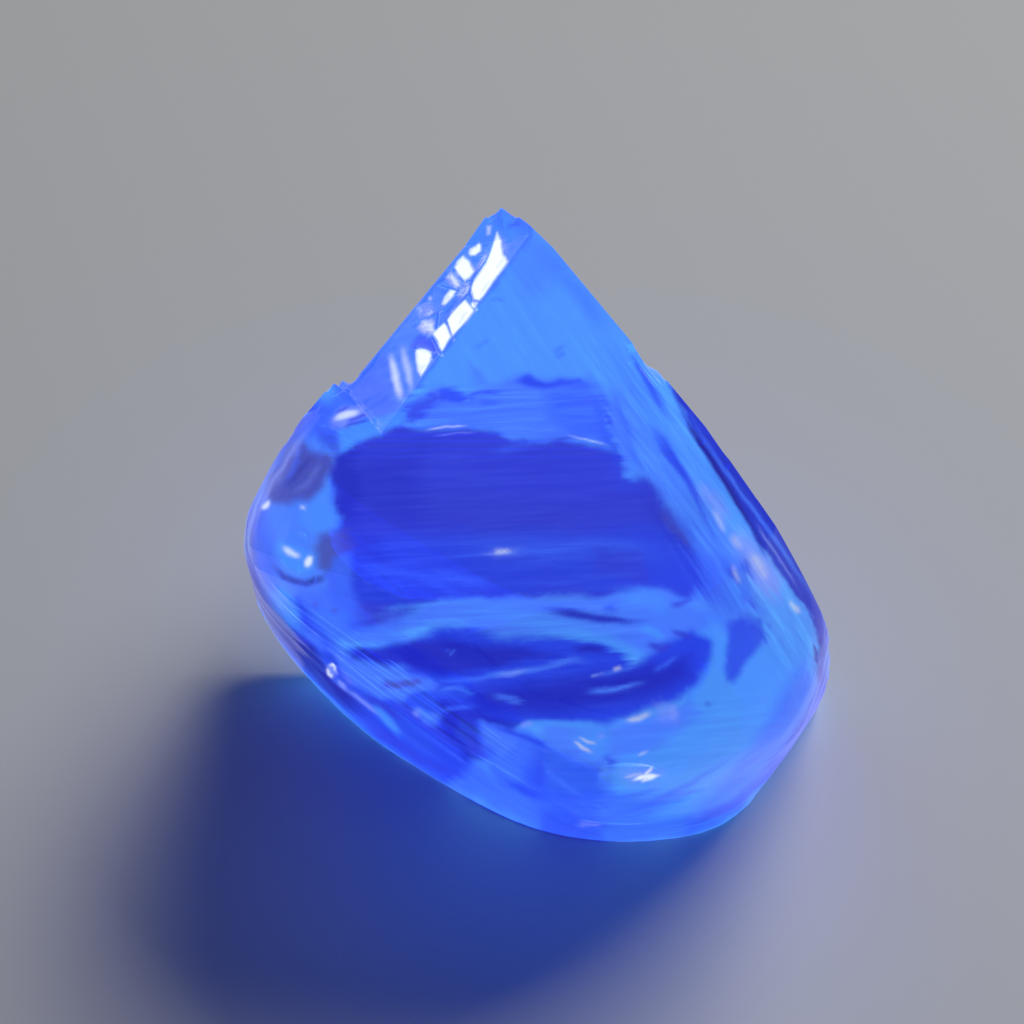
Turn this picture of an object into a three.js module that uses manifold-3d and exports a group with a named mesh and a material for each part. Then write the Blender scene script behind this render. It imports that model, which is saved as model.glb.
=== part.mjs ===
// Rough diamond: one natural octahedral crystal lying on an octahedral face.
// Millimetres, +Z up. The crystal rests on z = 0 with its sharp point toward +Y
// and its broken, dissolution-rounded foot toward -Y. The origin is the bottom
// centre of its bounding box.

import * as THREE from 'three';
import { mergeVertices } from 'three/addons/utils/BufferGeometryUtils.js';
import Module from 'manifold-3d';

const wasm = await Module();
wasm.setup();

// The eight octahedral faces: azimuth and lift of the outward normal in degrees,
// distance from the middle of the stone, and the slack that the worn skin gets
// beyond the face. A face with more slack keeps sharper edges.
const OCTAHEDRAL_LIFT = 19.4712;
const FACES = {
  top: { azimuth: 0, lift: 90, reach: 3.30, slack: 1.10 },
  bottom: { azimuth: 0, lift: -90, reach: 3.30, slack: 1.12 },
  front: { azimuth: -90, lift: OCTAHEDRAL_LIFT, reach: 4.38, slack: 1.02 },
  back: { azimuth: 90, lift: -OCTAHEDRAL_LIFT, reach: 2.25, slack: 1.12 },
  upperLeft: { azimuth: 150, lift: OCTAHEDRAL_LIFT, reach: 3.19, slack: 1.05 },
  lowerRight: { azimuth: -30, lift: -OCTAHEDRAL_LIFT, reach: 3.85, slack: 1.02 },
  upperRight: { azimuth: 30, lift: OCTAHEDRAL_LIFT, reach: 2.54, slack: 1.06 },
  lowerLeft: { azimuth: -150, lift: -OCTAHEDRAL_LIFT, reach: 3.05, slack: 1.02 },
};

// Where dissolution and breakage took the corners off.
const WORN = [
  { azimuth: 180, lift: 1, reach: 3.68 },
  { azimuth: 176, lift: 14, reach: 3.80 },
  { azimuth: -142, lift: -21, reach: 2.78 },
  { azimuth: -126, lift: -22, reach: 2.39 },
  { azimuth: -112, lift: -26, reach: 2.84 },
  { azimuth: -90, lift: -32, reach: 3.12 },
  { azimuth: -61, lift: -23, reach: 3.64 },
  { azimuth: -36, lift: -16, reach: 4.72 },
  { azimuth: -13, lift: -1, reach: 3.87 },
  { azimuth: 14, lift: 12, reach: 3.62 },
  { azimuth: 15, lift: 24, reach: 3.60 },
  { azimuth: -90, lift: -4, reach: 3.96 },
  { azimuth: -53, lift: 7, reach: 4.50 },
  { azimuth: -122, lift: 8, reach: 4.02 },
  { azimuth: -23, lift: 23, reach: 4.46 },
  { azimuth: -159, lift: 22, reach: 4.60 },
  { azimuth: 178, lift: 48, reach: 4.06 },
  { azimuth: -36, lift: 50, reach: 4.92 },
];
const SKIN_DETAIL = 18;
const SKIN_SHARPNESS = 20;
const HUMMOCK = 0.022;

// The point of the crystal, broken off a little.
const POINT = [
  { azimuth: 36, lift: 18, reach: 2.57 },
  { azimuth: 118, lift: 8, reach: 3.80 },
];

// Toward the foot the upper right face turns by a few degrees.
const RIGHT_TURN = { azimuth: 25.5, lift: OCTAHEDRAL_LIFT, reach: 2.625 };

// Upper left edge, from the point to the step back: the face lies one growth
// layer lower there, a flat bevel cuts its edge, and grooves divide the bevel
// into growth plates. Close to the point the bevel climbs again.
const STEP_BACK = 0.16;
const STEP_RISER = 3.10;
const BEVEL = { azimuth: 152.3, lift: 55, reach: 3.43 };
const BEVEL_CLIMB = { azimuth: -176, lift: 49.9, reach: 2.43 };
const GROOVE = { width: 0.04, depth: 0.03 };

// Where each groove starts and ends on the bevel: along the edge, then across.
const PLATE_GROOVES = [
  [-2.32, 0.17, -1.98, 0.31], [-1.98, 0.31, -1.56, 0.36], [-1.56, 0.36, -1.27, 0.49],
  [-1.27, 0.49, -0.81, 0.47], [-0.81, 0.47, -0.49, 0.39], [-1.27, 0.49, -0.87, 0.91],
  [-0.76, 0.46, -0.30, 0.92], [-0.49, 0.39, -0.05, 0.88], [-0.28, 0.26, -0.09, 0.71],
  [-1.91, -0.24, -1.53, 0.22], [-1.53, 0.22, -1.56, 0.36], [-2.06, -0.12, -2.04, 0.19],
  [-1.58, -0.25, -1.37, 0.25], [-1.37, 0.25, -0.99, 0.24], [-0.84, -0.10, -0.94, 0.19],
  [-0.94, 0.19, -0.56, 0.43],
];

// Upper right edge: the face lies one growth layer lower near the point too.
const RIGHT_STEP_BACK = 0.09;
const RIGHT_STEP_RISER = 3.01;

// The long front edge is rounded by narrow facets that taper into each other.
// Below it the front face is a set of nearly parallel facets.
const FRONT_FACETS = [
  { azimuth: -86, lift: 62, reach: 4.46 },
  { azimuth: -94, lift: 46, reach: 4.68 },
  { azimuth: -88, lift: 33, reach: 4.66 },
  { azimuth: -86, lift: 24.5, reach: 4.43 },
  { azimuth: -94, lift: 14, reach: 4.34 },
];

// Growth steps on the edges: how far the tread lies below the first face and
// the riser behind the second, where the step starts and ends along the edge,
// and its turn in degrees.
const EDGE_STEPS = [
  {
    faces: ['top', 'upperRight'],
    steps: [
      [0.045, 0.285, -4.6, -0.15, 0.5], [0.10, 0.22, -4.6, 0.02, -0.4], [0.165, 0.16, -4.6, 0.10, 0.3],
      [0.25, 0.105, -4.6, 0.05, 0.0], [0.36, 0.055, -4.6, -0.4, -0.3],
    ],
  },
  {
    faces: ['bottom', 'back'],
    steps: [
      [0.05, 0.33, -3.4, 2.2, 0.4], [0.10, 0.24, -2.6, 3.4, -0.5], [0.17, 0.16, -3.4, 2.9, 0.3],
      [0.27, 0.10, -1.9, 3.4, -0.3], [0.40, 0.05, -3.4, 1.2, 0.2],
    ],
  },
  {
    faces: ['back', 'upperRight'],
    steps: [[0.04, 0.22, -3.2, 1.9, 0.6], [0.10, 0.12, -3.2, 2.6, -0.5], [0.19, 0.05, -2.4, 1.4, 0.4]],
  },
  {
    faces: ['back', 'upperLeft'],
    steps: [[0.05, 0.34, -1.5, 2.2, -0.6], [0.12, 0.27, -2.2, 2.5, 0.5]],
  },
  {
    faces: ['upperRight', 'lowerRight'],
    steps: [[0.05, 0.34, -3.5, 3.5, 0.7], [0.13, 0.20, -3.5, 3.5, -0.5], [0.25, 0.09, -3.5, 3.5, 0.4]],
  },
];

// The same steps run on where the upper right face has turned.
const RIGHT_TURN_STEPS = [
  [0.06, 0.24, -5.2, -1.7, -0.5], [0.13, 0.17, -5.2, -1.5, 0.6], [0.22, 0.10, -5.2, -1.9, -0.3],
];

// The cleaved flank of the foot: it steps back in long, narrow laminae.
const FLANK = { azimuth: -128, lift: -24, reach: 2.40 };
const FLANK_RIM = { azimuth: -114, lift: 8, reach: 3.30 };
const FLANK_STEPS = [
  [0.04, 1.22, -5, 5, 1.2], [0.075, 0.86, -5, 5, -1.4], [0.115, 0.52, -5, 5, 1.0], [0.155, 0.22, -5, 5, -1.2],
];

// The chipped corner below the step back: short stairs of cleavage.
const CHIP_STEPS = [
  [0.50, 0.20, 0.50, 1.35, -14], [0.03, 0.92, 0.98, 1.75, 3], [0.055, 0.80, 1.08, 1.62, -4],
  [0.085, 0.70, 0.95, 1.50, 5], [0.12, 0.60, 1.12, 1.66, -3], [0.16, 0.50, 0.92, 1.44, 4],
];

// Etch pits: the face, where its middle lies on it, the corner radius and the
// depth. A pit points away from the corners of its face.
const PITS = [
  { face: 'back', toward: 'bottom', across: -0.9, along: -1.2, radius: 0.34, depth: 0.05 },
  { face: 'back', toward: 'bottom', across: -0.35, along: -1.75, radius: 0.17, depth: 0.03 },
  { face: 'back', toward: 'bottom', across: 0.75, along: -0.55, radius: 0.24, depth: 0.04 },
  { face: 'back', toward: 'bottom', across: 1.5, along: 0.5, radius: 0.14, depth: 0.03 },
  { face: 'back', toward: 'bottom', across: -1.9, along: 0.6, radius: 0.2, depth: 0.035 },
  { face: 'upperLeft', toward: 'top', across: 0.9, along: -0.5, radius: 0.26, depth: 0.04 },
  { face: 'upperLeft', toward: 'top', across: -0.2, along: -1.3, radius: 0.15, depth: 0.03 },
  { face: 'upperRight', toward: 'top', across: -1.0, along: 0.2, radius: 0.28, depth: 0.045 },
  { face: 'upperRight', toward: 'top', across: -0.1, along: -0.9, radius: 0.18, depth: 0.03 },
  { face: 'upperRight', toward: 'top', across: 0.5, along: 0.7, radius: 0.12, depth: 0.025 },
];

// Conchoidal hollows: centre, half sizes and turn about Z in degrees.
const HOLLOWS = [
  { at: [-2.86, -2.20, 2.90], size: [0.36, 0.30, 0.27], turn: 20 },
  { at: [-2.66, -2.40, 2.86], size: [0.22, 0.22, 0.19], turn: -35 },
  { at: [0.95, -4.35, 0.70], size: [0.95, 0.55, 0.75], turn: 12 },
];

const CUTTER = 14;
const FINEST = 0.005;

function direction({ azimuth, lift }) {
  const a = THREE.MathUtils.degToRad(azimuth);
  const l = THREE.MathUtils.degToRad(lift);
  return new THREE.Vector3(Math.cos(a) * Math.cos(l), Math.sin(a) * Math.cos(l), Math.sin(l));
}

const FLATS = [...POINT, ...FRONT_FACETS, RIGHT_TURN, BEVEL, BEVEL_CLIMB, FLANK, FLANK_RIM];
for (const face of [...Object.values(FACES), ...WORN, ...FLATS]) {
  face.normal = direction(face);
}

function solid(geometry) {
  const bare = geometry.clone();
  bare.deleteAttribute('normal');
  bare.deleteAttribute('uv');
  const merged = mergeVertices(bare, 1e-4);
  return new wasm.Manifold(new wasm.Mesh({
    numProp: 3,
    vertProperties: new Float32Array(merged.attributes.position.array),
    triVerts: new Uint32Array(merged.index.array),
    tolerance: FINEST,
  }));
}

function geometryOf(body) {
  const mesh = body.getMesh();
  const geometry = new THREE.BufferGeometry();
  geometry.setAttribute('position', new THREE.BufferAttribute(new Float32Array(mesh.vertProperties), 3));
  geometry.setIndex(new THREE.BufferAttribute(new Uint32Array(mesh.triVerts), 1));
  return geometry;
}

// Distance from the middle of the stone to its dissolved skin: a soft minimum
// over the octahedral faces and the worn corners, with low hummocks on it.
function skinReach(way) {
  let sum = 0;
  for (const face of Object.values(FACES)) {
    sum += (Math.max(0, way.dot(face.normal)) / (face.reach * face.slack)) ** SKIN_SHARPNESS;
  }
  for (const face of WORN) {
    sum += (Math.max(0, way.dot(face.normal)) / face.reach) ** SKIN_SHARPNESS;
  }
  const hummocks = Math.sin(9 * way.x + 2 * way.z) * Math.sin(7 * way.y - 5 * way.z)
    + 0.6 * Math.sin(15 * way.y + 4 * way.x) * Math.sin(13 * way.z + 3 * way.x);
  return sum ** (-1 / SKIN_SHARPNESS) + HUMMOCK * hummocks;
}

function dissolvedSkin() {
  const sphere = new THREE.IcosahedronGeometry(1, SKIN_DETAIL);
  const points = sphere.attributes.position;
  const way = new THREE.Vector3();
  for (let i = 0; i < points.count; i += 1) {
    way.fromBufferAttribute(points, i).normalize();
    way.multiplyScalar(skinReach(way));
    points.setXYZ(i, way.x, way.y, way.z);
  }
  return solid(sphere);
}

// Everything beyond a plane.
function beyond(normal, reach) {
  const box = new THREE.BoxGeometry(CUTTER, CUTTER, CUTTER);
  box.translate(0, 0, CUTTER / 2 + reach);
  box.applyQuaternion(new THREE.Quaternion().setFromUnitVectors(new THREE.Vector3(0, 0, 1), normal));
  return solid(box);
}

// Two faces meet in an edge. This is the frame along it: where the edge passes
// when both faces are pulled in, its run, and the ways out along each face.
function edgeFrame(a, b, insetA, insetB) {
  const run = new THREE.Vector3().crossVectors(a.normal, b.normal).normalize();
  const cosine = a.normal.dot(b.normal);
  const alongA = b.normal.clone().addScaledVector(a.normal, -cosine).normalize();
  const alongB = a.normal.clone().addScaledVector(b.normal, -cosine).normalize();
  const reachA = a.reach - insetA;
  const reachB = b.reach - insetB;
  const sine = Math.sqrt(1 - cosine * cosine);
  const corner = a.normal.clone().multiplyScalar(reachA)
    .addScaledVector(alongA, (reachB - reachA * cosine) / sine);
  return { run, alongA, alongB, corner };
}

// A wedge that takes the edge of two faces down to one growth step.
function stepCutter(a, b, [insetA, insetB, from, to, turn]) {
  const { run, alongA, alongB, corner } = edgeFrame(a, b, insetA, insetB);
  const side = new THREE.Vector3().crossVectors(run, alongA);
  const bx = alongB.dot(alongA) * CUTTER;
  const by = alongB.dot(side) * CUTTER;
  const section = new THREE.Shape([
    new THREE.Vector2(0, 0),
    new THREE.Vector2(CUTTER, 0),
    new THREE.Vector2(CUTTER + bx, by),
    new THREE.Vector2(bx, by),
  ]);
  const wedge = new THREE.ExtrudeGeometry(section, { depth: to - from, bevelEnabled: false });
  wedge.translate(0, 0, (from - to) / 2);
  wedge.applyMatrix4(new THREE.Matrix4().makeBasis(alongA, side, run));
  wedge.applyMatrix4(new THREE.Matrix4().makeRotationAxis(a.normal, THREE.MathUtils.degToRad(turn)));
  const place = corner.clone().addScaledVector(run, (from + to) / 2);
  wedge.translate(place.x, place.y, place.z);
  return solid(wedge);
}

function stepped(body, a, b, steps) {
  let result = body;
  for (const step of steps) {
    result = result.subtract(stepCutter(a, b, step));
  }
  return result;
}

function growthSteps(body) {
  let result = body;
  for (const edge of EDGE_STEPS) {
    const [a, b] = edge.faces.map((name) => FACES[name]);
    result = stepped(result, a, b, edge.steps);
  }
  result = stepped(result, FACES.top, RIGHT_TURN, RIGHT_TURN_STEPS);
  return stepped(result, FLANK, FLANK_RIM, FLANK_STEPS);
}

function facetted(body, facets) {
  let result = body;
  for (const facet of facets) {
    result = result.subtract(beyond(facet.normal, facet.reach));
  }
  return result;
}

// Grooves run along the bevel and across it, so plates stand between them.
function plateGrooves() {
  const { normal, reach } = BEVEL;
  const edge = new THREE.Vector3().crossVectors(FACES.top.normal, FACES.upperLeft.normal);
  const across = new THREE.Vector3().crossVectors(normal, edge).normalize();
  const run = new THREE.Vector3().crossVectors(across, normal);
  const bevelFrame = new THREE.Matrix4().makeBasis(run, across, normal).setPosition(
    normal.x * reach, normal.y * reach, normal.z * reach,
  );
  return PLATE_GROOVES.map(([s0, t0, s1, t1]) => {
    const length = Math.hypot(s1 - s0, t1 - t0) + GROOVE.width / 2;
    const groove = new THREE.BoxGeometry(length, GROOVE.width, 2 * GROOVE.depth);
    groove.rotateZ(Math.atan2(t1 - t0, s1 - s0));
    groove.translate((s0 + s1) / 2, (t0 + t1) / 2, 0);
    groove.applyMatrix4(bevelFrame);
    return solid(groove);
  });
}

function bevelledEdge(body) {
  const { top, upperLeft, upperRight } = FACES;
  const lower = stepCutter(upperLeft, upperRight, [STEP_BACK, STEP_RISER, -9, 9, 0]);
  const climb = beyond(BEVEL_CLIMB.normal, BEVEL_CLIMB.reach);
  const bevel = beyond(BEVEL.normal, BEVEL.reach).intersect(climb);
  const rightLower = stepCutter(upperRight, upperLeft, [RIGHT_STEP_BACK, RIGHT_STEP_RISER, -9, 9, 0]);
  const pointSide = beyond(upperRight.normal, upperRight.reach - STEP_RISER - 0.12);
  let bevelled = body.subtract(lower).subtract(rightLower).subtract(bevel.intersect(pointSide));
  for (const groove of plateGrooves()) {
    bevelled = bevelled.subtract(groove);
  }
  return stepped(bevelled, top, upperLeft, CHIP_STEPS);
}

function etchPit({ face, toward, across, along, radius, depth }) {
  const { normal, reach } = FACES[face];
  const up = FACES[toward].normal.clone();
  up.addScaledVector(normal, -up.dot(normal)).normalize();
  const right = new THREE.Vector3().crossVectors(normal, up);
  const pit = new THREE.CylinderGeometry(radius, radius * 0.3, 2 * depth, 3);
  pit.applyMatrix4(new THREE.Matrix4().makeBasis(right, normal, up));
  const place = normal.clone().multiplyScalar(reach)
    .addScaledVector(right, across)
    .addScaledVector(up, along);
  pit.translate(place.x, place.y, place.z);
  return solid(pit);
}

function hollow({ at, size, turn }) {
  const scoop = new THREE.IcosahedronGeometry(1, 5);
  scoop.scale(...size);
  scoop.rotateZ(THREE.MathUtils.degToRad(turn));
  scoop.translate(...at);
  return solid(scoop);
}

function crystalBody() {
  let body = facetted(dissolvedSkin(), Object.values(FACES));
  body = facetted(body, [...POINT, ...FRONT_FACETS, RIGHT_TURN]);
  body = growthSteps(body);
  body = bevelledEdge(body);
  for (const pit of PITS) {
    body = body.subtract(etchPit(pit));
  }
  for (const scoop of HOLLOWS) {
    body = body.subtract(hollow(scoop));
  }
  return body;
}

const diamond = new THREE.Group();
const stone = geometryOf(crystalBody());
stone.computeBoundingBox();
const middle = stone.boundingBox.getCenter(new THREE.Vector3());
stone.translate(-middle.x, -middle.y, -stone.boundingBox.min.z);

const crystal = new THREE.Mesh(stone, new THREE.MeshStandardMaterial({
  color: 0x3f63f2, roughness: 0.08, metalness: 0,
}));
crystal.name = 'rough_diamond';
diamond.add(crystal);

export default diamond;
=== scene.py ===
"""Rough diamond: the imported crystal, refined and lit on a pale studio floor."""

import bmesh
import bpy
import numpy as np
from mathutils import Matrix, Vector
from mathutils.kdtree import KDTree


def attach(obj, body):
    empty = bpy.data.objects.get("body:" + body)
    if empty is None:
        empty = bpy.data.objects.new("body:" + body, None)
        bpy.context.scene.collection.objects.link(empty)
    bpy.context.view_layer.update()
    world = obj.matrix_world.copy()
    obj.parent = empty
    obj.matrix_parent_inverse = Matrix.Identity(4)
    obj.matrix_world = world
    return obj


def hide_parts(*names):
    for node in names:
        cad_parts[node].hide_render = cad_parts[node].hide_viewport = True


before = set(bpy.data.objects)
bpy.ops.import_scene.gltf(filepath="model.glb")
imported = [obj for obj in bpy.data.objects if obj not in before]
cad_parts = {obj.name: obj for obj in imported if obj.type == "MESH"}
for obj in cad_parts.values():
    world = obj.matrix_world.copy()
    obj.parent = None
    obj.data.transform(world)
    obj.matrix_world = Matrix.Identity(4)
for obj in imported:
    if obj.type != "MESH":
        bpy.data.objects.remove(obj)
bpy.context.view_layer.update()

bl_info = {
    "name": "Rough Diamond",
    "version": (1, 0, 0),
    "blender": (4, 5, 0),
    "location": "View3D > Sidebar > Diamond",
    "description": "An uncut octahedral diamond that glows blue, on a pale studio floor",
    "category": "Add Mesh",
}

MM = 0.001
NODE = "rough_diamond"


def linear(hex_colour):
    """An sRGB hex colour as linear red, green and blue."""
    out = []
    for i in (1, 3, 5):
        v = int(hex_colour[i:i + 2], 16) / 255
        out.append(v / 12.92 if v <= 0.04045 else ((v + 0.055) / 1.055) ** 2.4)
    return tuple(out)


# Colours of the painted glow, from the thin bright rims to the deep middle. This is emission that stands in
# for the stone's blue glow under ultraviolet light and for the light bent and mirrored inside it. Milk,
# pearl and lilac are painted highlights, reflections and sheen.
PAINTED_GLOW = {
    "sky": "#569DFD",
    "azure": "#4A8FFE",
    "mid": "#4A79FE",
    "blue": "#3E66FA",
    "royal": "#2F49E6",
    "deep": "#3643D3",
    "navy": "#2A33BE",
    "ink": "#2A2C9C",
    "lilac": "#8296FF",
    "milk": "#E1EDF9",
    "pearl": "#B9C4E6",
    "smoke": "#484CAA",
}
# What shines through from the far side at any place, so the surface itself glows by
# that much less.
THROUGH = (0.002, 0.007, 0.2)
# What the floor's image in the steep sides adds to them. So much is taken off their painted glow, as
# painted shade.
MIRRORED = (0.010, 0.016, 0.04)

# Directions in which fine fibres run, on the drawing: the angle in degrees, then their
# length and width in millimetres.
FIBRES = {
    "cross": (3, 1.0, 0.07),
    "edge": (-56, 1.3, 0.1),
    "flank": (-38, 0.8, 0.09),
}
# How far the fibres draw out the rims of the marks, in millimetres.
DRAWN_OUT = 0.07

# The drawing lies on a plane through the middle of the stone, and is looked at from an
# eye in front of it and above. Its unit is an eightieth of a millimetre, and its places
# are counted to the right and down, with (512, 512) on the line of sight.
MIDDLE = Vector((-0.329, 1.145, 3.475))
RIGHT = Vector((1, 0, 0))
UP = Vector((0, 0.74314, 0.66913))
TOWARD = Vector((0, -0.66913, 0.74314))
EYE_DISTANCE = 53.34
DRAWN_MIDDLE = (512, 512)
DRAWN_UNITS = 80
BEVEL_NORMAL = (-0.508, 0.267, 0.819)
# Worn corners: where they are on the drawing, and how wide.
WORN = (((502, 202), 22), ((338, 374), 21), ((656, 370), 16))
# The eight octahedral faces, with two of them lying flat. The others lean up or down in
# turn: their normals' level and upright shares, and which azimuths face up.
LEVEL, UPRIGHT = 0.9428, 0.3333
FACING_UP = (-90, 30, 150)
FACE_NORMALS = np.array([(0, 0, 1), (0, 0, -1)] + [
    (
        LEVEL * np.cos(np.radians(azimuth)),
        LEVEL * np.sin(np.radians(azimuth)),
        UPRIGHT if azimuth in FACING_UP else -UPRIGHT,
    )
    for azimuth in (-90, -30, 30, 90, 150, -150)])

# How the mesh is cut, in millimetres: how far apart the first cuts are, and the edge
# length on the bevel's ground.
CUTS_APART = 0.5
GROUND_EDGE = 0.05
# Edges that turn by more than this, in radians, stay sharp. The skin between them is
# rounded in this many rounds.
SHARP = 0.26
ROUNDS = 12
# A normal that leans toward the eye by more than this is on the drawn side.
TOWARD_EYE = 0.03
# How far the rims of the marks wander and over what length, in millimetres.
WANDER = ((0.032, 0.21), (0.014, 0.075))
# Green of the painted glow at which the body colour is as light as it gets. Where the glow is less green,
# the body colour is darker: painted shade that dims the light passing through.
UNSHADED_GREEN = 0.14
# Roughness of the natural faces, and how much rougher the bevel's ground is.
FACE_ROUGH, GROUND_ROUGHER = 0.02, 0.45
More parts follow.
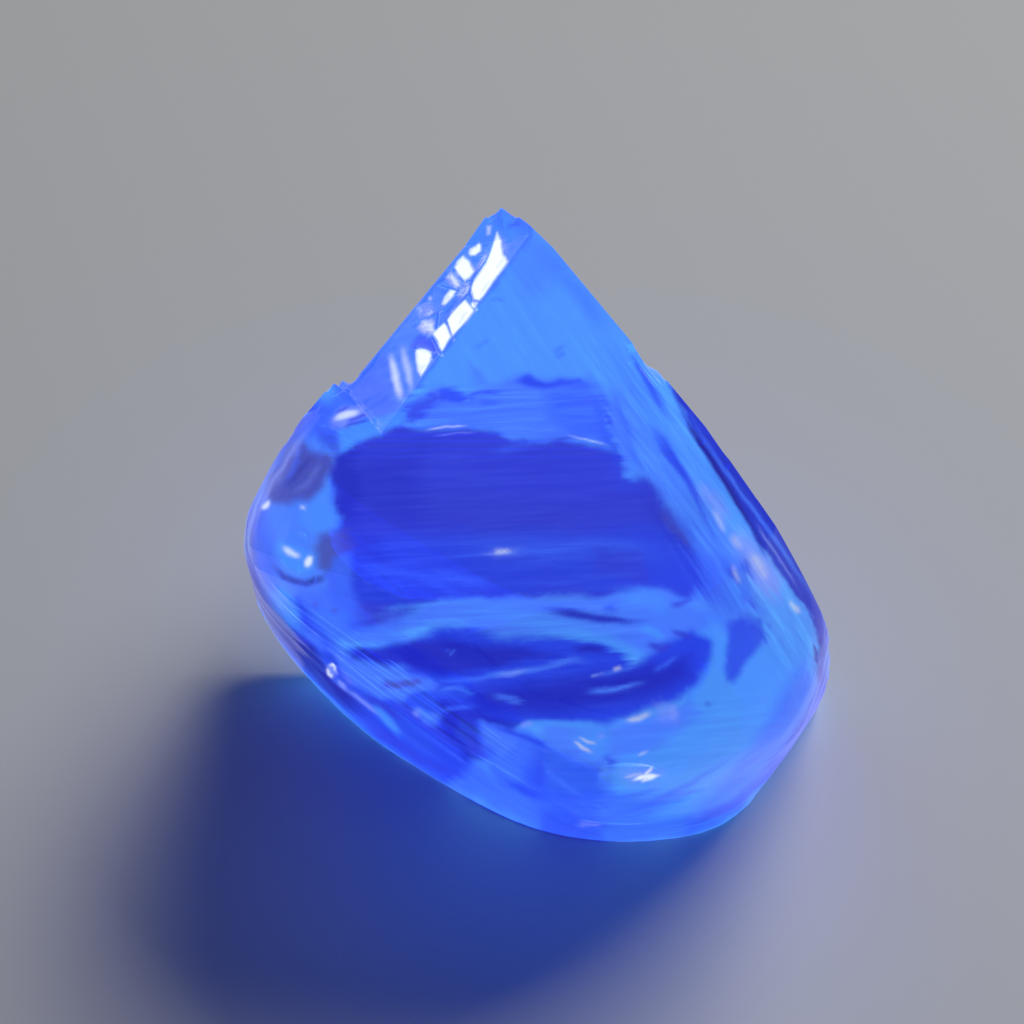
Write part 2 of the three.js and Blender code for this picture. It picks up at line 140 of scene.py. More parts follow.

# What shows in and on the stone, listed and painted in this order. Each mark has a name, a colour, an
# amount, how soft its rim is, its outline or path and, for a streak along a path, its half width or half
# widths.
# Most marks are painted light. Painted glow and painted shade stand for the light bent and mirrored inside
# the stone, and the marks in milk, pearl and lilac are painted highlights and reflections.
MARKS = (
    ("edge shade", "blue", 0.5, 9, ((530, 232), (572, 284), (612, 336)), 8),
    ("tip shade", "deep", 0.7, 6, ((484, 200), (512, 202), (532, 226), (522, 238), (497, 226))),
    ("shade by the tip", "mid", 0.6, 14, (
        (496, 205), (530, 222), (560, 262), (545, 300), (520, 290), (508, 262))),
    ("right of the top", "mid", 0.8, 16, (
        (600, 400), (625, 385), (700, 480), (735, 560), (720, 600), (690, 600), (680, 545), (640, 470))),
    ("bevel ground", "blue", 0.6, 3, (
        (470, 214), (487, 200), (536, 224), (531, 236), (404, 408), (384, 438), (330, 384))),
    ("bevel foot", "blue", 0.6, 6, ((352, 376), (388, 350), (398, 392), (372, 398))),
    ("left rim", "deep", 0.9, 9, (
        (300, 395), (262, 450), (236, 500), (228, 560), (232, 600), (262, 640), (280, 640), (262, 590),
        (256, 545), (268, 500), (290, 455), (330, 410))),
    ("lobe", "mid", 0.75, 10, (
        (250, 500), (262, 470), (310, 430), (345, 470), (348, 520), (340, 600), (300, 622), (264, 604),
        (244, 575))),
    ("right foot", "azure", 0.8, 14, (
        (700, 620), (800, 640), (822, 700), (760, 790), (700, 820), (640, 830), (606, 760), (680, 710))),
    ("left shoulder", "blue", 0.8, 8, (
        (400, 400), (395, 425), (345, 440), (300, 430), (345, 382), (370, 372))),
    ("band", "mid", 0.95, 6, (
        (395, 415), (440, 385), (470, 393), (520, 376), (560, 378), (592, 384), (604, 400), (618, 445),
        (560, 440), (520, 440), (480, 430), (425, 430))),
    ("band dark left", "royal", 0.85, 4, ((440, 389), (452, 386), (472, 395), (466, 402), (447, 401))),
    ("band dark wedge", "deep", 0.75, 4, (
        (398, 420), (412, 402), (436, 391), (446, 396), (428, 407), (416, 424))),
    ("band line", "royal", 0.8, 2, ((470, 397), (486, 391), (506, 393)), 1.5),
    ("band shade", "mid", 0.7, 5, ((470, 366), (480, 370), (486, 384), (474, 386))),
    ("band dark right", "royal", 0.85, 3, (
        (515, 383), (527, 375), (546, 381), (578, 378), (582, 382), (547, 387), (530, 388))),
    ("band blue right", "blue", 0.8, 9, (
        (545, 390), (590, 376), (602, 402), (612, 440), (572, 436), (550, 420))),
    ("band block", "blue", 0.6, 4, ((478, 397), (494, 400), (500, 404), (488, 408), (476, 404))),
    # Painted shade where one looks through the stone to the floor in its shadow.
    ("window", "deep", 1, 5, (
        (341, 452), (352, 444), (378, 436), (402, 424), (424, 431), (470, 429), (500, 434), (530, 441),
        (560, 437), (600, 447), (618, 450), (628, 480), (652, 484), (676, 520), (694, 548), (700, 578),
        (690, 596), (640, 590), (600, 598), (520, 597), (440, 599), (396, 606), (372, 622), (350, 618),
        (352, 590), (345, 560), (336, 520), (338, 490), (330, 470))),
    ("window left dark", "navy", 0.9, 6, ((334, 455), (352, 446), (362, 500), (346, 520), (330, 505))),
    ("window violet", "navy", 0.55, 22, ((352, 458), (420, 452), (420, 530), (380, 520), (355, 505))),
    ("window low", "royal", 0.8, 14, (
        (350, 540), (420, 535), (600, 532), (690, 520), (700, 590), (600, 596), (440, 598), (350, 600))),
    ("window left shade", "navy", 0.45, 8, (
        (334, 498), (352, 500), (392, 560), (392, 582), (350, 585), (334, 550))),
    ("window corner", "royal", 0.35, 10, (
        (590, 425), (615, 430), (640, 468), (650, 492), (620, 492), (600, 450))),
    ("window left low", "royal", 0.7, 8, ((350, 560), (450, 575), (470, 598), (400, 605), (350, 600))),
    ("window veil", "blue", 0.5, 6, ((490, 454), (530, 443), (549, 435)), 2.5),
    ("window veil low", "blue", 0.6, 10, ((440, 552), (500, 549), (600, 548), (690, 556)), 8),
    ("left fibre", "blue", 0.75, 5, ((420, 571), (455, 577), (492, 588)), 4),
    ("left fibre 2", "blue", 0.5, 5, ((360, 566), (420, 575), (470, 600)), 3),
    ("flash", "lilac", 0.45, 6, ((484, 553), (524, 551)), 2.5),
    ("flash core", "milk", 0.55, 3, ((493, 552), (512, 550)), 1.6),
    ("window right shade", "navy", 0.5, 10, ((640, 478), (655, 486), (690, 545), (680, 548), (655, 520))),
    ("window brown edge", "smoke", 0.55, 4, ((663, 512), (690, 545)), 3),
    ("window right blue", "royal", 0.5, 10, ((640, 540), (700, 548), (715, 600), (660, 590))),
    ("window right deep", "deep", 0.6, 8, ((590, 548), (640, 552), (650, 585), (600, 575))),
    ("white line a", "milk", 0.7, 1.4, ((425, 431), (446, 427), (469, 426)), 0.5),
    ("white line b", "milk", 0.5, 1.4, ((566, 434), (590, 441), (609, 445)), 0.4),
    ("white line c", "lilac", 0.6, 1.4, ((430, 437), (460, 433), (480, 433)), 0.4),
    ("right dark a", "royal", 0.7, 5, ((596, 385), (604, 412), (614, 446), (622, 470)), (1.5, 3, 3, 1.5)),
    ("right dark a2", "blue", 0.7, 4, ((612, 385), (626, 430), (640, 470)), (2, 4, 2)),
    ("right light a", "mid", 0.9, 3, ((607, 398), (622, 440), (633, 478)), 3.5),
    ("right azure", "azure", 0.3, 14, ((625, 370), (650, 430), (690, 500), (715, 560)), 14),
    ("right dark b", "royal", 0.9, 3, (
        (651, 420), (664, 444), (688, 482), (702, 508), (716, 538)), (3, 6, 3, 2.5, 1.5)),
    ("right sky", "sky", 0.7, 5, ((664, 414), (684, 436), (704, 470), (716, 486)), (3, 9, 7, 3)),
    ("right dark c", "royal", 0.8, 3, ((628, 348), (648, 384), (666, 412)), (1.5, 3, 5)),
    ("right azure b", "azure", 0.5, 8, ((680, 412), (705, 460), (735, 520)), 8),
    ("lilac a", "lilac", 0.55, 7, ((700, 484), (714, 500), (730, 528)), (7, 6, 4)),
    ("lilac a2", "pearl", 0.5, 3, ((712, 508), (720, 522), (726, 534)), (1, 2, 1)),
    ("lilac b", "lilac", 0.75, 12, ((735, 530), (760, 570), (785, 600)), (7, 13, 10)),
    ("lilac c", "pearl", 0.6, 4, ((732, 532), (736, 542), (744, 552)), (1.5, 3, 1)),
    ("lilac d", "pearl", 0.6, 6, ((750, 552), (758, 564), (768, 580)), (1.5, 4.5, 2)),
    ("lilac e", "pearl", 0.7, 3, ((788, 600), (796, 608), (800, 614)), (1, 2.6, 1.2)),
    ("right dark d", "navy", 0.8, 3, ((726, 558), (729, 572), (737, 586)), (1.5, 3, 1)),
    ("right light d", "pearl", 0.5, 3, ((731, 562), (736, 574), (741, 586)), (1, 2, 1)),
    ("right dark e", "royal", 0.8, 3, ((741, 552), (746, 572), (752, 584)), (1.5, 3, 1.5)),
    ("right dark f", "deep", 0.7, 4, ((745, 594), (753, 608)), 4),
    ("strip", "navy", 0.95, 3, (
        (668, 384), (690, 396), (760, 480), (800, 558), (832, 618), (834, 650), (828, 700), (818, 720),
        (818, 640), (812, 615), (770, 560), (740, 510), (700, 440), (678, 402))),
    ("strip inner dark", "ink", 1, 2, (
        (674, 392), (688, 424), (706, 452), (740, 508), (770, 556)), (1.5, 2.5, 3, 2.5, 1.5)),
    ("strip line a", "mid", 0.75, 2, (
        (690, 412), (704, 440), (745, 500), (776, 540), (818, 604)), (1, 1.8, 1.4, 1.8, 1)),
    ("strip line b", "lilac", 0.55, 1.5, ((757, 524), (800, 590)), 0.9),
    ("strip end light", "lilac", 0.7, 2, ((826, 632), (826, 652)), 1.2),
    ("strip end dark", "ink", 0.5, 3, ((818, 622), (820, 680)), 2),
    ("strip end dark b", "navy", 0.85, 7, (
        (826, 640), (824, 694), (800, 737), (765, 777), (735, 800)), (4, 7, 7, 6, 3)),
    ("tongue", "azure", 0.8, 4, ((334, 430), (345, 425), (400, 410), (402, 424), (372, 438), (341, 450))),
    ("chip", "mid", 0.7, 3, ((334, 412), (345, 404), (372, 410), (372, 420), (345, 430), (334, 424))),
    ("chip glare", "lilac", 0.6, 4, (
        (326, 421), (340, 409), (362, 406), (368, 416), (344, 427), (330, 428))),
    ("chip white", "milk", 0.75, 2, ((332, 420), (346, 415), (362, 412)), (2, 3.4, 1.6)),
    ("chip dark a", "ink", 0.7, 2, ((334, 414), (350, 406)), 1),
    ("chip dark b", "ink", 0.75, 2, ((345, 423), (360, 417), (370, 414)), 1.2),
    ("chip dark c", "ink", 0.7, 2, ((341, 428), (352, 424), (372, 420)), 1.2),
    ("left blue", "blue", 0.75, 6, ((318, 400), (335, 430), (338, 450), (300, 430))),
    ("smear", "smoke", 0.9, 6, (
        (314, 450), (332, 456), (334, 448), (331, 468), (322, 487), (308, 497), (290, 506), (272, 502),
        (266, 492), (276, 468), (290, 448), (304, 440))),
    ("smear blue", "blue", 0.6, 4, ((300, 442), (296, 462), (284, 486)), (2, 3, 1.5)),
    ("smear dark", "deep", 0.6, 6, ((318, 430), (336, 432), (338, 452), (322, 448))),
    ("smear light a", "lilac", 0.35, 5, ((304, 438), (292, 460), (272, 492)), 2),
    ("smear light b", "lilac", 0.3, 4, ((322, 460), (308, 482), (290, 496)), 1.6),
    ("smear dark b", "ink", 0.5, 4, ((316, 452), (298, 472), (280, 490)), 2),
    ("smear brown", "smoke", 0.6, 5, ((298, 452), (280, 480)), 3),
    ("sparkle a", "milk", 0.85, 2.5, ((261, 509), (266, 505), (270, 499)), (1.2, 2.6, 1)),
    ("rim line", "lilac", 0.6, 3, (
        (312, 424), (296, 446), (272, 484), (254, 520), (250, 545)), (1, 2, 1.5, 2, 1)),
    ("sparkle b", "milk", 0.5, 3, ((303, 505), (303, 510)), 1.6),
    ("left tongue", "azure", 0.7, 5, (
        (330, 480), (328, 500), (342, 516), (338, 528), (318, 534), (300, 520), (305, 506))),
    ("brown smear", "smoke", 0.8, 6, (
        (322, 534), (345, 532), (352, 545), (345, 552), (330, 572), (320, 568), (318, 548))),
    ("crater light", "azure", 0.9, 4, (
        (279, 540), (300, 546), (316, 556), (314, 570), (300, 574), (282, 566), (275, 552))),
    ("crater white a", "milk", 0.75, 3, ((282, 546), (290, 552), (302, 558)), (2, 3, 1.5)),
    ("crater white b", "milk", 0.9, 2.5, ((312, 555), (309, 562), (306, 568)), (2, 3.4, 1.6)),
    ("crater dark", "ink", 0.75, 3, (
        (269, 562), (284, 577), (304, 583), (322, 578), (330, 568)), (2.5, 3.5, 3.5, 3.5, 2)),
    ("left column", "blue", 0.9, 5, (
        (335, 556), (349, 551), (352, 590), (360, 612), (345, 616), (330, 600), (326, 575))),
    ("under crater", "blue", 0.75, 9, (
        (300, 588), (330, 585), (350, 610), (374, 622), (348, 640), (330, 650), (300, 625))),
    ("smudge a", "smoke", 0.5, 3, ((313, 602), (318, 607)), 2.5),
    ("smudge b", "smoke", 0.5, 3, ((330, 612), (340, 610)), 2.5),
    ("lobe dark", "royal", 0.8, 4, ((298, 592), (300, 612), (296, 628)), 3),
    ("foot flank", "blue", 0.85, 10, (
        (430, 735), (500, 775), (560, 795), (604, 822), (600, 840), (560, 840), (440, 785))),
    ("flank", "royal", 0.9, 7, (
        (262, 600), (300, 600), (340, 650), (400, 700), (450, 730), (476, 764), (440, 790), (345, 730),
        (280, 655))),
    ("flank join", "royal", 0.9, 5, (
        (412, 664), (450, 670), (470, 700), (452, 738), (420, 722), (398, 700))),
    ("lobe azure", "azure", 0.85, 6, (
        (248, 590), (284, 588), (297, 606), (300, 632), (290, 636), (270, 622))),
    # Painted shade against the floor's mirror image in the lobe's rim.
    ("lobe rim", "royal", 0.5, 10, (
        (236, 520), (262, 500), (274, 540), (276, 590), (262, 620), (240, 600))),
    ("lobe low", "mid", 0.8, 6, ((300, 622), (316, 632), (330, 650), (318, 648), (306, 640))),
    ("flank dark", "ink", 0.95, 4, (
        (264, 602), (282, 628), (306, 654), (328, 684), (350, 704), (376, 724)), (3, 5, 10, 7, 7, 3)),
    ("flank dark low", "deep", 0.8, 5, ((356, 712), (380, 732), (420, 760), (470, 780)), (4, 6, 4, 2)),
    ("flank dark b", "deep", 0.8, 3, ((290, 622), (296, 634), (312, 648)), (1, 3, 2)),
    ("flank dark d", "deep", 0.85, 3, ((360, 695), (384, 706), (404, 722)), (2, 3, 2)),
    ("flank dark e", "deep", 0.7, 3, ((378, 700), (404, 708), (430, 726), (462, 752)), (2, 5, 4, 6)),
    ("ellipse a", "milk", 0.85, 1.6, ((327, 668), (329, 674), (334, 677)), 1.2),
    ("ellipse a2", "milk", 0.85, 1.6, ((328, 667), (333, 665), (337, 672)), 1.2),
    ("ellipse in", "lilac", 0.7, 2, ((328, 667), (333, 665), (337, 672), (334, 677), (329, 674))),
    ("ellipse b", "lilac", 0.8, 2.5, ((338, 680), (343, 686), (348, 692)), (2, 2.4, 1.2)),
    ("flank lilac", "lilac", 0.45, 5, ((343, 668), (350, 670), (356, 682), (350, 684))),
    ("flank white", "lilac", 0.7, 2.5, ((346, 690), (362, 702), (382, 716)), 1.6),
    ("flank line", "mid", 0.8, 3, ((325, 640), (336, 656), (350, 676)), 1.5),
    ("wedge", "mid", 0.95, 3.5, (
        (331, 647), (346, 655), (370, 664), (386, 664), (396, 669), (412, 672), (424, 668), (426, 677),
        (438, 682), (430, 692), (416, 692), (404, 702), (380, 697), (364, 692), (354, 684), (344, 668))),
    ("grey smudge", "smoke", 0.75, 3, (
        (382, 689), (386, 682), (402, 679), (423, 678), (423, 684), (402, 688))),
    ("wedge fibre", "mid", 0.85, 2.5, ((432, 692), (458, 687), (477, 690)), (1, 2.6, 1)),
    ("flank fibre a", "azure", 0.8, 3, ((372, 702), (388, 720), (402, 738)), (2, 4, 3)),
    ("flank fibre b", "mid", 0.85, 3, ((410, 708), (428, 716), (450, 718)), (3, 5, 1)),
    ("flank fibre b2", "mid", 0.8, 4, ((420, 718), (440, 726)), (4, 1)),
    ("flank spot", "lilac", 0.7, 3, ((414, 711), (418, 716)), 2.5),
    ("bright band", "mid", 0.95, 6, (
        (345, 641), (392, 620), (430, 604), (520, 597), (600, 599), (640, 590), (664, 590), (690, 603),
        (706, 612), (706, 628), (668, 640), (652, 662), (640, 648), (600, 636), (560, 632), (520, 636),
        (484, 634), (462, 620), (425, 624), (398, 630), (372, 636))),
    ("bright band core", "azure", 0.5, 10, ((440, 612), (500, 612), (560, 628), (620, 634)), 8),
    ("bright band end", "azure", 0.6, 8, ((615, 600), (650, 598), (672, 612)), 9),
    ("band dark streak", "navy", 0.9, 3, (
        (534, 607), (560, 611), (580, 615), (606, 620), (652, 622)), (1.5, 4, 4.5, 3.5, 1.5)),
    ("band dark streak b", "royal", 0.7, 3, ((606, 612), (618, 606)), (4, 2)),
    ("band dark streak c", "deep", 0.7, 3, ((668, 605), (680, 603), (694, 597)), (2, 3, 1.5)),
    ("band left shade", "blue", 0.5, 6, ((345, 622), (400, 612), (404, 636), (350, 646))),
    ("bright fibre a", "mid", 0.9, 4, ((345, 640), (380, 637), (428, 645)), (3, 5, 1)),
    ("dark fibre a", "deep", 0.85, 5, ((345, 626), (372, 622), (400, 612), (425, 606)), (4, 5, 4, 2)),
    ("front lens", "royal", 1, 6, (
        (348, 652), (400, 648), (440, 628), (470, 626), (500, 638), (560, 636), (610, 642), (640, 664),
        (654, 652), (664, 640), (690, 630), (712, 640), (710, 660), (694, 688), (668, 704), (640, 713),
        (606, 724), (560, 721), (520, 724), (470, 722), (448, 700), (470, 690), (430, 680), (400, 668),
        (352, 657))),
    ("front lens deep", "navy", 0.85, 12, (
        (470, 690), (600, 676), (690, 655), (690, 680), (640, 700), (560, 712), (480, 712))),
    ("front lens left", "navy", 0.9, 6, (
        (350, 652), (400, 645), (440, 640), (520, 648), (560, 656), (480, 668), (440, 676), (400, 668),
        (356, 660))),
    ("front lens tail", "navy", 0.9, 6, (
        (438, 698), (480, 712), (520, 722), (508, 738), (490, 760), (466, 762), (440, 728))),
    ("arc", "azure", 0.9, 3, (
        (560, 634), (600, 640), (626, 648), (646, 656), (647, 664)), (4, 4, 3.5, 3, 1)),
    ("arc dark", "navy", 0.85, 3, ((570, 650), (590, 649), (612, 654)), (2, 4, 1.5)),
    ("arc right", "azure", 0.85, 3, ((640, 628), (656, 632), (666, 641)), (4, 4, 1.5)),
    ("arc right dark", "deep", 0.85, 3, ((646, 642), (660, 648), (672, 644)), (2, 4.5, 2)),
    ("arc right dark b", "deep", 0.8, 2.5, ((668, 630), (682, 634), (694, 640)), (1.5, 3, 2)),
    ("lens line a", "mid", 0.95, 3, (
        (462, 682), (493, 675), (530, 671), (558, 664), (573, 659), (594, 664)), (1.5, 2.5, 2, 2, 3, 2)),
    ("lens line a2", "lilac", 0.5, 3, ((496, 676), (530, 671)), 1.5),
    ("lens line b", "lilac", 0.9, 2, ((594, 677), (602, 674)), 1.2),
    ("lens line c", "pearl", 0.8, 2, ((612, 670), (622, 667)), (1.6, 1)),
    ("lens line d", "mid", 0.8, 3, ((598, 675), (622, 669), (640, 663)), 1.6),
    ("lens line e", "mid", 0.95, 3, ((588, 692), (625, 688), (646, 682)), (2, 2, 1.4)),
    ("lens line f", "blue", 0.8, 3, ((652, 672), (668, 662), (680, 655)), 1.6),
    ("lens line g", "mid", 0.9, 3, ((487, 694), (505, 698), (526, 704)), 1.8),
    ("lens line h", "blue", 0.9, 3, ((437, 711), (476, 706)), 1.6),
    ("lens line i", "blue", 0.9, 3, ((436, 681), (465, 680), (492, 677)), 2),
    ("lens scratch", "mid", 0.8, 2, ((446, 657), (453, 649)), 0.9),
    ("front block", "blue", 0.85, 5, (
        (478, 722), (520, 730), (545, 742), (545, 800), (500, 782), (480, 752))),
    ("block light", "mid", 0.8, 4, (
        (480, 721), (502, 727), (518, 735), (516, 748), (500, 756), (486, 742))),
    ("front shade", "royal", 0.75, 12, (
        (545, 742), (606, 760), (610, 800), (590, 818), (555, 808), (520, 784))),
    ("lip", "mid", 0.8, 8, (
        (545, 722), (600, 728), (640, 720), (690, 702), (700, 715), (660, 745), (600, 765), (545, 750))),
    ("lip line", "azure", 0.9, 3, ((518, 727), (545, 723), (580, 724), (606, 727)), 2.5),
    ("lip white", "lilac", 0.6, 3, ((519, 727), (524, 725), (534, 724)), (1.5, 2.4, 1)),
    ("lip white b", "pearl", 0.75, 3, ((624, 721), (638, 719), (652, 713)), (1.5, 2.6, 1.2)),
    ("lip soft", "lilac", 0.4, 8, ((655, 705), (676, 706), (676, 722), (660, 722))),
    ("spark halo", "azure", 0.7, 6, (
        (572, 736), (590, 728), (610, 733), (606, 754), (592, 758), (578, 748))),
    ("spark a", "pearl", 0.85, 2, ((573, 740), (583, 748), (594, 753)), (0.6, 1.6, 0.6)),
    ("spark b", "lilac", 0.5, 3, ((596, 737), (604, 735)), 2),
    ("spark b2", "pearl", 0.7, 2, ((578, 736), (588, 742), (598, 744)), (0.6, 1.2, 0.6)),
    ("lip white c", "lilac", 0.55, 3, ((672, 704), (675, 714), (674, 722)), (2, 3, 1.5)),
    ("spark c", "pearl", 0.6, 2, ((637, 756), (642, 753), (648, 750)), (0.4, 1.1, 0.4)),
    ("spark d1", "milk", 1, 1.6, ((630, 780), (640, 778), (652, 776), (662, 775)), (0.8, 2.2, 1.8, 0.8)),
    ("spark d2", "milk", 0.9, 1.6, ((640, 783), (650, 779), (658, 776)), (0.8, 1.5, 0.8)),
    ("spark d3", "milk", 0.8, 1.5, ((644, 776), (650, 770), (653, 766)), (1.4, 1.2, 0.6)),
    ("spark d4", "pearl", 0.6, 1.6, ((622, 777), (632, 775), (645, 773)), (0.6, 1.2, 0.6)),
    ("spark e", "lilac", 0.35, 8, ((628, 784), (620, 770), (650, 765), (666, 772), (655, 784))),
    ("front line a", "mid", 0.7, 3, ((540, 757), (552, 776), (585, 800)), 1.2),
    ("front line b", "azure", 0.7, 3, ((603, 745), (604, 768), (600, 785)), 1.8),
    ("front line c", "royal", 0.6, 4, ((606, 752), (612, 770)), 4),
    ("foot fibre a", "royal", 0.65, 4, ((500, 780), (524, 790), (560, 798)), (3, 4, 1.5)),
    ("block line", "royal", 0.8, 3, ((482, 723), (508, 731), (540, 744), (560, 756)), (1.5, 2, 2, 1)),
    ("block dark", "deep", 0.8, 5, ((466, 736), (476, 748), (488, 762)), (4, 6, 2)),
    ("foot rim", "royal", 0.6, 6, (
        (540, 808), (600, 820), (660, 820), (700, 814), (745, 790), (748, 808), (700, 836), (600, 848),
        (540, 836))),
    ("foot low", "blue", 0.7, 8, (
        (560, 800), (600, 796), (660, 796), (700, 790), (640, 822), (590, 826))),
    ("foot fibre b", "blue", 0.7, 3, ((585, 823), (640, 808), (690, 784), (740, 752)), 2),
    ("foot fibre c", "blue", 0.6, 3, ((600, 803), (630, 797), (665, 786)), 2),
    ("foot white", "lilac", 0.6, 2, ((576, 826), (584, 824), (600, 824)), (0.8, 1.6, 0.8)),
    ("right blue", "blue", 0.6, 9, ((698, 556), (740, 560), (762, 612), (742, 640), (706, 624))),
    ("tooth", "royal", 0.85, 5, (
        (727, 621), (742, 616), (764, 624), (763, 642), (752, 656), (742, 668), (735, 682), (727, 680),
        (722, 664), (728, 642))),
    ("lens right light", "azure", 0.8, 6, ((712, 612), (720, 650), (712, 680)), 5),
    ("nick a", "deep", 0.6, 3, ((704, 702), (712, 707)), 1.5),
    ("bottom right edge", "royal", 0.75, 8, (
        (823, 690), (830, 700), (790, 750), (745, 808), (690, 832), (690, 824), (740, 795), (780, 748))),
    # The bevel's growth plates, spots and white streaks are painted white, pearl and lilac. These are
    # painted reflections of the light, on top of their real mirror image.
    ("tip lilac", "lilac", 0.6, 4, ((499, 232), (503, 246), (508, 258)), (1, 3, 2)),
    ("plate 1", "milk", 1, 1.6, (
        (497, 232), (501, 241), (503, 254), (507.5, 260), (505.6, 265), (493, 281), (484, 295),
        (479, 300), (474, 299), (471, 287.5), (476, 277.5), (485, 265), (490, 254), (494, 242.5))),
    ("plate 1b", "milk", 0.9, 1.4, ((472.5, 302), (477.5, 302.5), (475, 307.5), (471, 306))),
    ("plate 2", "milk", 1, 1.6, (
        (465, 300), (470, 306), (474, 311), (467.5, 320), (457.5, 330), (452, 336), (450, 329),
        (447.5, 320), (452.5, 311), (460, 304))),
    ("plate 3", "milk", 1, 1.6, (
        (444, 323), (447.5, 327.5), (450.6, 336), (446, 344), (442.5, 350.6), (440, 347.5), (438, 341),
        (432.5, 332.5), (437.5, 329))),
    ("plate 4", "milk", 1, 1.6, (
        (417.5, 349), (425, 349), (431, 352.5), (431, 360), (425, 370), (421, 376), (418, 371),
        (416, 360), (415.6, 352))),
    ("plate 5", "milk", 0.95, 2, (
        (463, 256), (470, 262.5), (474, 271), (470, 277.5), (465, 280), (457.5, 274), (455, 267.5),
        (457.5, 261))),
    ("plate 6", "milk", 0.9, 1.6, (
        (470, 249), (476, 246), (479, 243), (481, 246), (481, 251), (475, 255), (470, 255), (469, 252.5))),
    ("plate 7", "lilac", 0.8, 2, (
        (475, 271), (480, 260), (487.5, 252.5), (489, 254), (482.5, 265), (477.5, 271))),
    ("plate 8", "pearl", 0.8, 2.5, (
        (446, 277.5), (451, 272.5), (457.5, 280), (460, 286), (456, 287.5), (450, 282.5))),
    ("plate 9", "milk", 0.85, 1.6, (
        (450, 290), (456, 291), (454, 296), (445, 305), (442, 304), (445, 296))),
    ("plate 10", "pearl", 0.85, 2, ((487, 226), (491, 226), (490, 234), (487, 235))),
    ("plate 11", "pearl", 0.85, 3, (
        (420, 325), (424, 319.5), (430, 318.5), (435, 322), (435, 329), (431, 333), (424, 332))),
    ("plate 12", "lilac", 0.55, 3.5, (
        (417, 308), (422, 303), (429, 304), (432, 310), (428, 316), (420, 316))),
    ("plate 13", "lilac", 0.6, 3, (
        (464, 285), (468, 281), (470, 288), (466, 296), (459, 302), (457, 298))),
    ("bevel spot a", "pearl", 0.7, 2, ((428, 300), (431, 296)), 1.8),
    ("bevel dark", "royal", 0.8, 3, (
        (411, 346), (420, 333), (434, 337), (440, 351), (434, 357), (430, 349), (420, 345), (414, 350))),
    ("groove a", "royal", 0.6, 1.6, (
        (493, 241), (487, 257), (473, 278), (469, 292), (449, 316), (431, 334)), 1.2),
    ("groove b", "royal", 0.6, 1.6, ((469, 292), (477, 309)), 1.2),
    ("groove c", "royal", 0.6, 1.6, ((446, 319), (454, 339)), 1.2),
    ("groove d", "royal", 0.5, 1.6, ((439, 283), (459, 289), (443, 309)), 1.2),
    ("groove e", "royal", 0.5, 1.6, ((417, 320), (438, 312), (436, 330)), 1.2),
    ("groove f", "royal", 0.5, 1.6, ((453, 266), (464, 281)), 1.2),
    ("groove g", "royal", 0.5, 1.6, ((430, 290), (446, 277), (456, 287)), 1),
    ("streak white a", "milk", 0.7, 3, ((390, 352), (396, 378), (402, 402)), (2, 3.2, 2.5)),
    ("streak white b", "milk", 0.45, 3, ((402, 344), (408, 370), (411, 394)), (2, 3, 1.5)),
    ("tip nick", "deep", 0.7, 3, ((505, 229), (512, 225), (521, 223)), 2),
    ("top nick a", "deep", 0.55, 1.5, ((488, 302), (496, 299), (506, 300)), 0.8),
    ("top nick b", "deep", 0.5, 1.5, ((474, 349), (483, 344), (490, 338)), 0.8),
    ("top nick d", "royal", 0.6, 2, ((552, 353), (566, 345)), 1.1),
    ("top nick e", "royal", 0.6, 2, ((553, 358), (567, 352)), 1.1),
    # Painted shade on the left and right rims, against the floor's mirror image in them.
    ("left rim dark", "ink", 0.9, 8, (
        (256, 490), (246, 520), (244, 566), (256, 604), (286, 640), (306, 664)), (4, 4, 8, 12, 9, 5)),
    ("right rim dark", "deep", 0.85, 8, (
        (815, 596), (832, 640), (834, 684), (812, 722), (776, 762)), (4, 9, 10, 7, 4)),
    ("right foot edge", "blue", 0.7, 10, (
        (806, 660), (820, 690), (780, 750), (740, 790), (690, 820), (760, 735))),
)
BEVEL_GROUND = [mark for mark in MARKS if mark[0] == "bevel ground"]
PLATES = [mark for mark in MARKS if mark[0].startswith("plate ")]
# Where the fibres show: a name, their set, an amount, how soft its rim is, and an outline.
FIBRED = (
    ("window", "cross", 0.14, 10, (
        (341, 452), (424, 431), (620, 450), (690, 548), (600, 540), (350, 540))),
    ("window low", "cross", 0.2, 12, (
        (350, 530), (420, 525), (600, 520), (640, 545), (640, 590), (600, 598), (440, 600), (360, 612))),
    ("band and lens", "cross", 0.16, 12, (
        (350, 600), (600, 600), (640, 600), (650, 640), (650, 680), (620, 712), (470, 720), (420, 690),
        (350, 655))),
    ("band behind", "cross", 0.22, 8, ((395, 385), (600, 385), (618, 445), (400, 430))),
    ("foot", "cross", 0.1, 14, (
        (540, 740), (640, 720), (720, 700), (800, 700), (760, 790), (700, 820), (600, 830), (545, 800))),
    ("right edge", "edge", 0.26, 12, (
        (592, 340), (636, 345), (740, 470), (812, 590), (832, 650), (800, 700), (745, 620), (700, 600),
        (640, 480), (600, 400))),
    ("top", "edge", 0.07, 14, (
        (505, 235), (560, 290), (640, 370), (600, 385), (470, 380), (420, 400), (470, 330))),
    ("flank", "flank", 0.09, 8, (
        (252, 570), (300, 600), (350, 655), (400, 695), (450, 722), (490, 765), (560, 790), (605, 806),
        (610, 838), (540, 832), (400, 770), (300, 690))),
)


